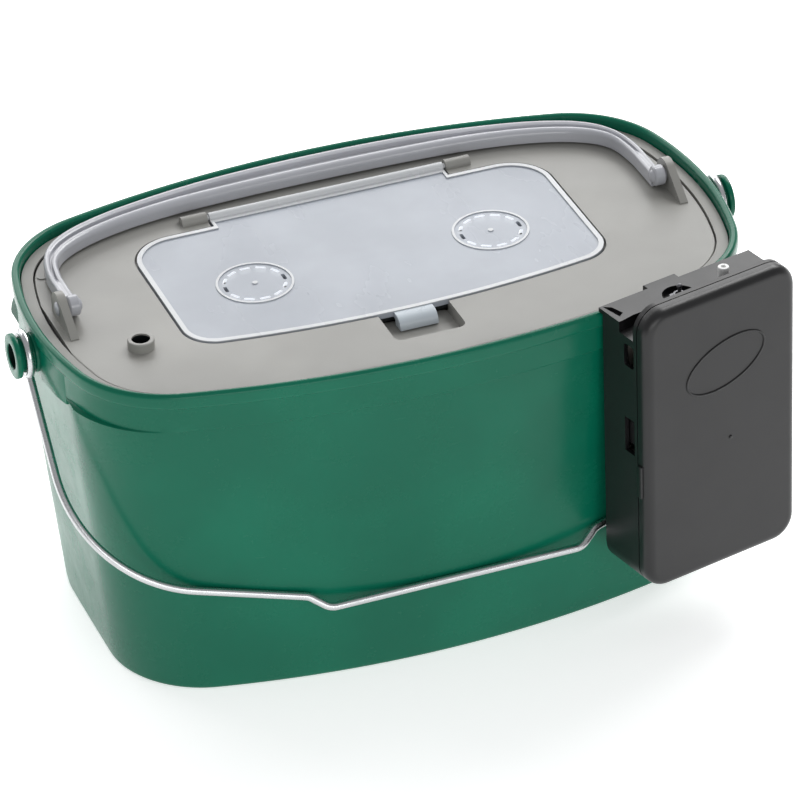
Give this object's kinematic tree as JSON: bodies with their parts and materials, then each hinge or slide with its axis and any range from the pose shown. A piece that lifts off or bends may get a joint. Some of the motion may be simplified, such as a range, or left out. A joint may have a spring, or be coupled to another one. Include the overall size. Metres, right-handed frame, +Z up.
{
  "type": "aerated_bait_bucket",
  "caption": "Bowed plastic bait bucket with a wire bail, lift-out perforated liner, lid with clear hatch and folding handle, and a battery air pump hooked over the rim",
  "frame": {"origin": "centre of the flat underside of the bucket", "axes": "+X along the long side toward the pump end, -Y toward the front, +Z up"},
  "size_m": [0.3708, 0.2417, 0.19],
  "materials": {
    "green_plastic": "roughness 0.30",
    "liner_plastic": "roughness 0.50",
    "lid_plastic": "roughness 0.50",
    "clear_plastic": "roughness 0.30",
    "handle_plastic": "roughness 0.40",
    "zinc_wire": "roughness 0.30",
    "black_plastic": "roughness 0.35",
    "white_plastic": "roughness 0.35",
    "bright_metal": "roughness 0.30",
    "works_plastic": "roughness 0.50",
    "diaphragm_rubber": "roughness 0.70",
    "cell_jacket": "roughness 0.35"
  },
  "bodies": {
    "bucket_body": {"bucket": "green_plastic"},
    "bail": {"wire_bail": "zinc_wire"},
    "liner": {"inner_bucket": "liner_plastic"},
    "lid": {"lid_panel": "lid_plastic"},
    "hatch_leaf": {"hatch": "clear_plastic"},
    "handle": {"lid_handle": "handle_plastic"},
    "pump": {"pump_body": "black_plastic", "pump_chassis": "works_plastic", "chassis_screws": "bright_metal", "motor": "bright_metal", "motor_clamp": "bright_metal", "clamp_screw": "bright_metal", "connecting_rod": "works_plastic", "pump_head": "works_plastic", "diaphragm": "diaphragm_rubber", "valve_cover": "works_plastic", "head_screws": "bright_metal", "outlet_nipple": "white_plastic", "switch_body": "bright_metal", "switch_nut": "bright_metal", "battery_cell_left": "cell_jacket", "battery_cell_right": "cell_jacket", "contact_springs": "bright_metal", "contact_plates": "bright_metal"},
    "cover": {"pump_cover": "black_plastic"},
    "rotor": {"motor_shaft": "bright_metal", "eccentric": "works_plastic"},
    "toggle": {"switch_lever": "bright_metal"}
  },
  "joints": [
    {"name": "liner_lift", "type": "slide", "parent": "bucket_body", "child": "liner", "axis": [0, 0, 1], "range_m": [0, 0.18]},
    {"name": "lid_lift", "type": "slide", "parent": "liner", "child": "lid", "axis": [0, 0, 1], "range_m": [0, 0.06]},
    {"name": "hatch_swing", "type": "hinge", "parent": "lid", "child": "hatch_leaf", "pos_m": [0, 0.069, 0.171], "axis": [-1, 0, 0], "range_deg": [0, 105]},
    {"name": "handle_swing", "type": "hinge", "parent": "lid", "child": "handle", "pos_m": [0, 0.0065, 0.1775], "axis": [1, 0, 0], "range_deg": [0, 170]},
    {"name": "pump_off", "type": "slide", "parent": "bucket_body", "child": "pump", "axis": [-0.1446, 0.6263, -0.766], "range_m": [-0.292, 0]},
    {"name": "bail_swing", "type": "hinge", "parent": "bucket_body", "child": "bail", "pos_m": [0, 0, 0.161], "axis": [1, 0, 0], "range_deg": [-139.6, 0]},
    {"name": "cover_off", "type": "slide", "parent": "pump", "child": "cover", "axis": [0.225, -0.9744, 0], "range_m": [0, 0.05]},
    {"name": "motor_spin", "type": "hinge", "parent": "pump", "child": "rotor", "pos_m": [0.1197, -0.10948, 0.118], "axis": [0.9744, 0.225, 0], "continuous": true},
    {"name": "switch_toggle", "type": "hinge", "parent": "pump", "child": "toggle", "pos_m": [0.11529, -0.10372, 0.1766], "axis": [0.225, -0.9744, 0], "range_deg": [-12, 12]}
  ],
  "couplings": [
    {"joint": "bail_swing", "follows": "pump_off", "rad_per_m": 8.3441}
  ]
}
